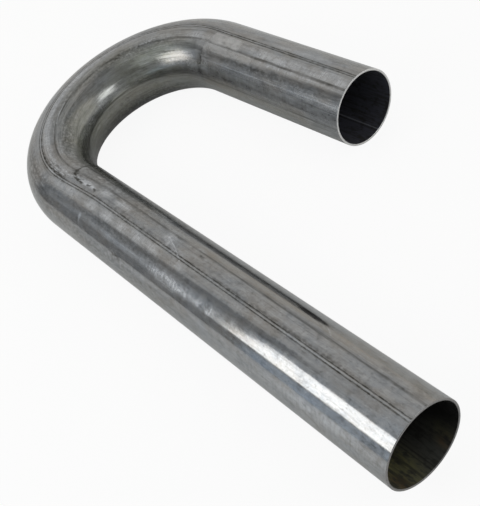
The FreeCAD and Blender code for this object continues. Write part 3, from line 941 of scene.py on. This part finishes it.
def table_material(colours):
    """Matt white laminate: white to the eye, and it keeps the tube's soft shadow."""
    material, add = new_material("matt_white_laminate")
    laminate = add("BsdfPrincipled", sockets={
        "Base Color": rgba(colours.table), "Roughness": 0.7, "Specular IOR Level": 0.2})
    white = add("Emission", (1, 1, 1, 1), 1.0)
    path = add("LightPath").outputs
    share = add("Math", path["Is Camera Ray"], WHITE_TO_EYE, operation="MULTIPLY")
    share = add("Math", path["Is Glossy Ray"], WHITE_IN_STEEL, share, operation="MULTIPLY_ADD")
    add("OutputMaterial", add("MixShader", share, laminate, white))
    return material


def glow_material(name, shade, strength):
    """Plain light-giving cloth, as on a softbox or a lit wall."""
    material, add = new_material(name)
    add("OutputMaterial", add("Emission", rgba(shade), strength))
    return material


# Colour and strength of the light that comes from all round the room.
ROOM_LIGHT = ((0.96, 0.98, 1.0, 1), 0.34)


def set_world():
    """Light the room evenly and dimly, and show white behind the table."""
    world = bpy.data.worlds.new("studio")
    world.use_nodes = True
    world.node_tree.nodes.clear()
    add = partial(add_node, world.node_tree)
    room = add("Background", *ROOM_LIGHT)
    white = add("Background", (1, 1, 1, 1), 1.0)
    both = add("MixShader", add("LightPath").outputs["Is Camera Ray"], room, white)
    add("OutputWorld", both)
    bpy.context.scene.world = world


# The photograph is 480 by 506. The camera's place is in millimetres. Its azimuth is the way its
# right side points before it leans, its elevation is how steeply it looks down, both in degrees,
# and its shift is how far the lens's axis lies from the middle of the picture, in pixels.
PHOTO_HEIGHT = 506
FOCAL_PIXELS = 908.829
CAMERA_PLACE = (236.630, -128.337, 481.690)
CAMERA_AZIMUTH, CAMERA_ELEVATION, CAMERA_ROLL = 72.599, 44.968, -31.477
CAMERA_SHIFT = (30.309, 12.615)


def set_camera():
    """Place the camera where the photograph was taken from."""
    azimuth, elevation, roll = (
        radians(value) for value in (CAMERA_AZIMUTH, CAMERA_ELEVATION, CAMERA_ROLL))
    back = Vector((
        sin(azimuth) * cos(elevation), -cos(azimuth) * cos(elevation), sin(elevation)))
    level = Vector((cos(azimuth), sin(azimuth), 0))
    upright = back.cross(level)
    right = cos(roll) * level + sin(roll) * upright
    up = cos(roll) * upright - sin(roll) * level
    data = bpy.data.cameras.new("photograph")
    data.sensor_width = 36.0
    data.lens = FOCAL_PIXELS * data.sensor_width / PHOTO_HEIGHT
    data.shift_x = CAMERA_SHIFT[0] / PHOTO_HEIGHT
    data.shift_y = CAMERA_SHIFT[1] / PHOTO_HEIGHT
    data.clip_start = 0.01
    data.clip_end = 20.0
    camera = bpy.data.objects.new("photograph", data)
    turned = Matrix((right, up, back)).transposed().to_4x4()
    camera.matrix_world = Matrix.Translation(Vector(CAMERA_PLACE) * MM) @ turned
    bpy.context.scene.collection.objects.link(camera)
    bpy.context.scene.camera = camera


# Corners of the table, in metres. Its height is the tube's underside.
TABLE_FROM, TABLE_TO = (-1.6, -0.87), (1.4, 1.9)

# Panels of the studio: name, three corners in metres (the fourth follows), colour and strength,
# where 1 is white. Each is hidden from the camera and seen in the steel.
PANELS = (
    ("key_softbox", (-0.839, -0.811, 0.331), (-0.240, -0.871, 0.331), (-0.839, -0.640, 0.834),
     "fffefc", 3.4),
    ("key_skirt", (-0.80, -0.90, -0.03), (0.60, -0.90, -0.03), (-0.80, -0.88, 0.30),
     "d9e6f5", 0.88),
    ("key_hood", (-0.95, -0.645, 0.86), (0.40, -0.800, 0.86), (-0.95, -0.40, 1.90),
     "eef3f8", 0.80),
    ("overhead_cloth", (-1.46, -0.75, 1.92), (-0.20, -0.85, 1.92), (-1.40, 0.30, 1.92),
     "f4f6f8", 0.74),
    ("side_reflector", (-1.90, -0.705, 0.331), (-0.845, -0.811, 0.331), (-1.90, -0.534, 0.834),
     "eff3f7", 0.54),
    ("fill_softbox", (0.62, 0.86, 0.42), (0.92, 0.28, 0.42), (0.54, 0.82, 0.86),
     "fcfdff", 2.35),
    ("back_wall", (-1.55, -0.55, -0.03), (-1.30, 1.90, -0.03), (-1.55, -0.55, 2.40),
     "fffefc", 0.72),
    ("back_canopy", (-1.55, -0.55, 2.40), (-1.30, 1.90, 2.40), (-0.85, -0.55, 2.60),
     "fffefc", 0.77),
    ("side_wall", (-1.30, 1.90, -0.03), (1.20, 1.60, -0.03), (-1.30, 1.90, 1.80),
     "fffdfa", 0.76),
)


class SCENE_OT_return_bend_stage(bpy.types.Operator):
    """Set the table, the studio panels, the world and the camera"""
    bl_idname = "scene.return_bend_stage"
    bl_label = "Return bend stage"

    def execute(self, context):
        colours = context.scene.return_bend_colours
        (left, front), (right, back), height = TABLE_FROM, TABLE_TO, CAD_LOW.z
        corners = [
            (left, front, height), (right, front, height), (right, back, height),
            (left, back, height)]
        plane("table", corners, table_material(colours))
        for name, corner, beside, above, code, strength in PANELS:
            corner, beside, above = (Vector(point) for point in (corner, beside, above))
            material = glow_material(name + "_cloth", linear(code), strength)
            panel = plane(name, [corner, beside, beside + above - corner, above], material)
            panel.visible_camera = False
        set_world()
        set_camera()
        context.scene.view_settings.view_transform = "Standard"
        return {"FINISHED"}


class VIEW3D_PT_return_bend(bpy.types.Panel):
    """Sidebar panel of the return bend"""
    bl_idname = "VIEW3D_PT_return_bend"
    bl_label = "Return bend"
    bl_space_type = "VIEW_3D"
    bl_region_type = "UI"
    bl_category = "Return bend"

    def draw(self, context):
        layout = self.layout
        for group in (context.scene.return_bend_sizes, context.scene.return_bend_colours):
            column = layout.column()
            for name in group.__annotations__:
                column.prop(group, name)
        layout.operator(MESH_OT_return_bend_tube.bl_idname)
        layout.operator(SCENE_OT_return_bend_stage.bl_idname)


CLASSES = (
    ReturnBendSizes, ReturnBendColours, MESH_OT_return_bend_tube, SCENE_OT_return_bend_stage,
    VIEW3D_PT_return_bend)


def register():
    for kind in CLASSES:
        bpy.utils.register_class(kind)
    bpy.types.Scene.return_bend_sizes = bpy.props.PointerProperty(type=ReturnBendSizes)
    bpy.types.Scene.return_bend_colours = bpy.props.PointerProperty(type=ReturnBendColours)


def unregister():
    del bpy.types.Scene.return_bend_colours
    del bpy.types.Scene.return_bend_sizes
    for kind in reversed(CLASSES):
        bpy.utils.unregister_class(kind)


def main():
    """Build everything."""
    register()
    bpy.ops.mesh.return_bend_tube()
    bpy.ops.scene.return_bend_stage()


if __name__ == "__main__":
    main()
